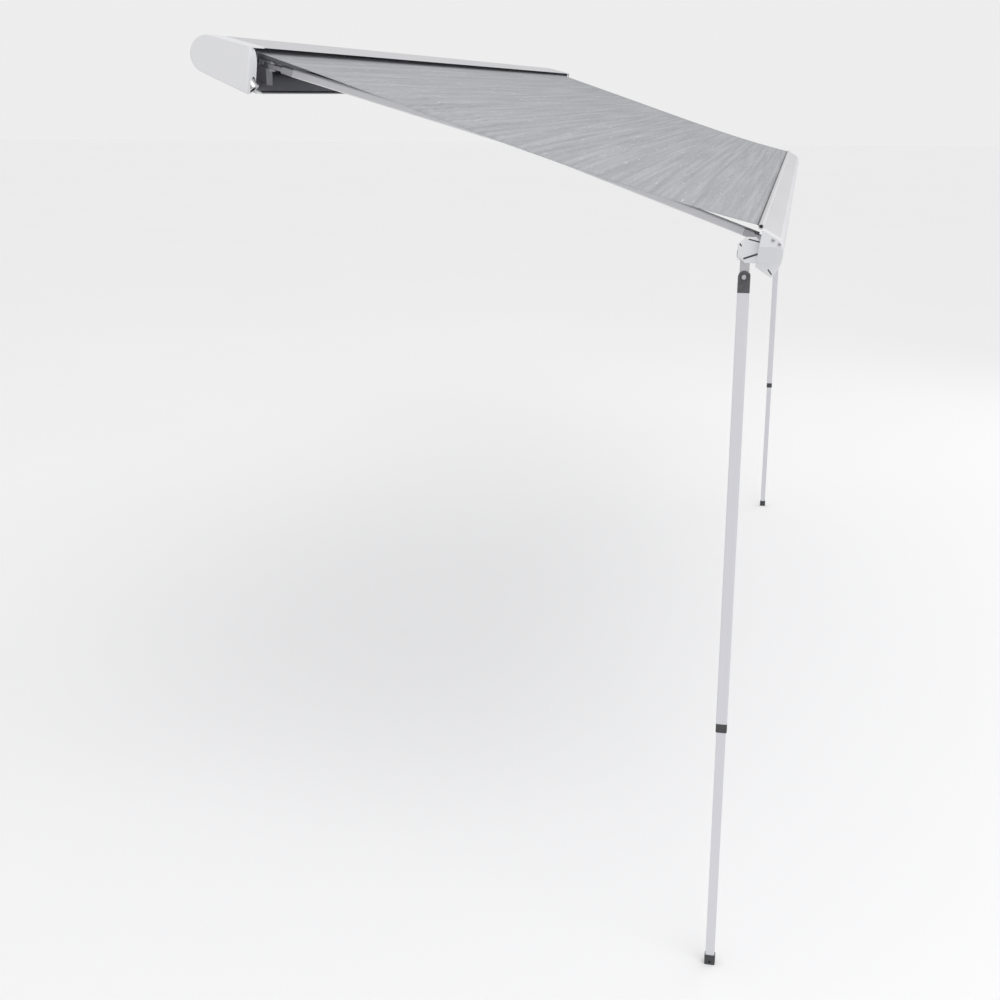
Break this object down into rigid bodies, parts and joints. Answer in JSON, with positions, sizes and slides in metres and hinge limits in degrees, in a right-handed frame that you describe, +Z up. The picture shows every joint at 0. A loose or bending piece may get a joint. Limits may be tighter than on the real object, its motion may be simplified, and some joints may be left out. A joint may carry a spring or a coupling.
{
  "type": "roll out awning",
  "caption": "Cassette awning for a camper's wall: crank-driven roller, grey canopy, two folding arms, lead rail and telescopic legs.",
  "frame": {"origin": "on the wall plane at the middle of the centre bracket's back face, level with the roller's axis", "axes": "+X along the wall and the housing, -Y away from the wall over the open canopy, +Z up"},
  "size_m": [4.5, 1.4024, 2.369],
  "materials": {
    "white_moulding": "moulded, satin white",
    "anodised_profile": "satin anodised, silver-white",
    "arm_profile": "powder coated, pale grey",
    "arm_casting": "powder coated casting",
    "leg_profile": "pale anodised",
    "dark_casting": "die-cast, dark grey",
    "dark_moulding": "glass-filled, dark grey",
    "bracket_casting": "powder coated, grey",
    "stainless": "stainless, satin",
    "gear_steel": "turned steel, oiled",
    "gear_bronze": "cut bronze",
    "roller_steel": "galvanised",
    "grey_cloth": "woven, coated, grey with fine streaks",
    "seal_rubber": "soft black rubber"
  },
  "bodies": {
    "housing": {"housing_shell": "anodised_profile", "left_housing_cap": "white_moulding", "right_housing_cap": "white_moulding", "wall_bracket_left": "bracket_casting", "wall_bracket_centre": "bracket_casting", "wall_bracket_right": "bracket_casting", "housing_screws": "stainless", "shoulder_brackets": "arm_casting", "shoulder_pins": "stainless", "gearbox_casing": "dark_moulding", "roller_bushes": "dark_moulding", "crank_bush": "dark_moulding", "lip_seal": "seal_rubber", "canopy": "grey_cloth"},
    "roller": {"roller_tube": "roller_steel", "roller_plugs": "dark_moulding", "worm_wheel": "gear_bronze", "fabric_roll": "grey_cloth"},
    "crank": {"worm_shaft": "gear_steel", "crank_eye": "stainless"},
    "lead_rail": {"lead_rail": "anodised_profile", "left_rail_cap": "white_moulding", "right_rail_cap": "white_moulding", "wrist_brackets": "arm_casting", "wrist_pins": "stainless", "front_bead": "grey_cloth", "rail_cap_screws": "stainless", "leg_fold_pins": "stainless"},
    "left_upper_arm": {"left_upper_arm_tube": "arm_profile", "left_shoulder_casting": "arm_casting", "left_elbow_fork": "arm_casting", "left_elbow_pin": "stainless"},
    "left_forearm": {"left_forearm_tube": "arm_profile", "left_elbow_tongue": "arm_casting", "left_wrist_casting": "arm_casting", "left_arm_spring": "gear_steel"},
    "left_leg_link": {"left_leg_link": "stainless", "left_knuckle_pin": "stainless"},
    "left_leg": {"left_leg_knuckle": "dark_casting", "left_leg_outer": "leg_profile", "left_leg_collar": "dark_moulding"},
    "left_inner_leg": {"left_leg_inner": "leg_profile", "left_leg_foot": "dark_moulding"},
    "right_upper_arm": {"right_upper_arm_tube": "arm_profile", "right_shoulder_casting": "arm_casting", "right_elbow_fork": "arm_casting", "right_elbow_pin": "stainless"},
    "right_forearm": {"right_forearm_tube": "arm_profile", "right_elbow_tongue": "arm_casting", "right_wrist_casting": "arm_casting", "right_arm_spring": "gear_steel"},
    "right_leg_link": {"right_leg_link": "stainless", "right_knuckle_pin": "stainless"},
    "right_leg": {"right_leg_knuckle": "dark_casting", "right_leg_outer": "leg_profile", "right_leg_collar": "dark_moulding"},
    "right_inner_leg": {"right_leg_inner": "leg_profile", "right_leg_foot": "dark_moulding"}
  },
  "joints": [
    {"name": "roller_turn", "type": "hinge", "parent": "housing", "child": "roller", "pos_m": [0, -0.056, 0], "axis": [1, 0, 0], "continuous": true},
    {"name": "crank_turn", "type": "hinge", "parent": "housing", "child": "crank", "pos_m": [-2.209, -0.07676, 0.01565], "axis": [0, -0.6018, -0.7986], "continuous": true},
    {"name": "awning_fold", "type": "hinge", "parent": "housing", "child": "right_upper_arm", "pos_m": [2, -0.11223, -0.02111], "axis": [0, 0.309, -0.9511], "range_deg": [0, 69.51], "deforming": ["canopy"]},
    {"name": "right_elbow", "type": "hinge", "parent": "right_upper_arm", "child": "right_forearm", "pos_m": [1.78678, -0.73634, -0.22389], "axis": [0, 0.309, -0.9511], "range_deg": [-139.02, 0]},
    {"name": "right_wrist", "type": "hinge", "parent": "right_forearm", "child": "lead_rail", "pos_m": [2, -1.36045, -0.42668], "axis": [0, 0.309, -0.9511], "range_deg": [0, 69.51]},
    {"name": "left_shoulder", "type": "hinge", "parent": "housing", "child": "left_upper_arm", "pos_m": [-2, -0.11223, -0.02111], "axis": [0, 0.309, -0.9511], "range_deg": [-69.51, 0]},
    {"name": "left_elbow", "type": "hinge", "parent": "left_upper_arm", "child": "left_forearm", "pos_m": [-1.78678, -0.73634, -0.22389], "axis": [0, 0.309, -0.9511], "range_deg": [0, 139.02]},
    {"name": "right_leg_fold", "type": "hinge", "parent": "lead_rail", "child": "right_leg_link", "pos_m": [2.178, -1.31716, -0.44328], "axis": [0, 1, 0], "range_deg": [0, 90]},
    {"name": "right_leg_tilt", "type": "hinge", "parent": "right_leg_link", "child": "right_leg", "pos_m": [2.178, -1.31716, -0.49328], "axis": [-1, 0, 0], "range_deg": [-35, 0]},
    {"name": "right_leg_slide", "type": "slide", "parent": "right_leg", "child": "right_inner_leg", "axis": [0, 0, 1], "range_m": [-0.1, 0.45]},
    {"name": "left_leg_fold", "type": "hinge", "parent": "lead_rail", "child": "left_leg_link", "pos_m": [-2.178, -1.31716, -0.44328], "axis": [0, -1, 0], "range_deg": [0, 90]},
    {"name": "left_leg_tilt", "type": "hinge", "parent": "left_leg_link", "child": "left_leg", "pos_m": [-2.178, -1.31716, -0.49328], "axis": [-1, 0, 0], "range_deg": [-35, 0]},
    {"name": "left_leg_slide", "type": "slide", "parent": "left_leg", "child": "left_inner_leg", "axis": [0, 0, 1], "range_m": [-0.1, 0.45]}
  ],
  "couplings": [
    {"joint": "crank_turn", "follows": "roller_turn", "ratio": -18},
    {"joint": "right_elbow", "follows": "awning_fold", "ratio": -2},
    {"joint": "right_wrist", "follows": "awning_fold", "ratio": 1},
    {"joint": "left_shoulder", "follows": "awning_fold", "ratio": -1},
    {"joint": "left_elbow", "follows": "awning_fold", "ratio": 2}
  ]
}
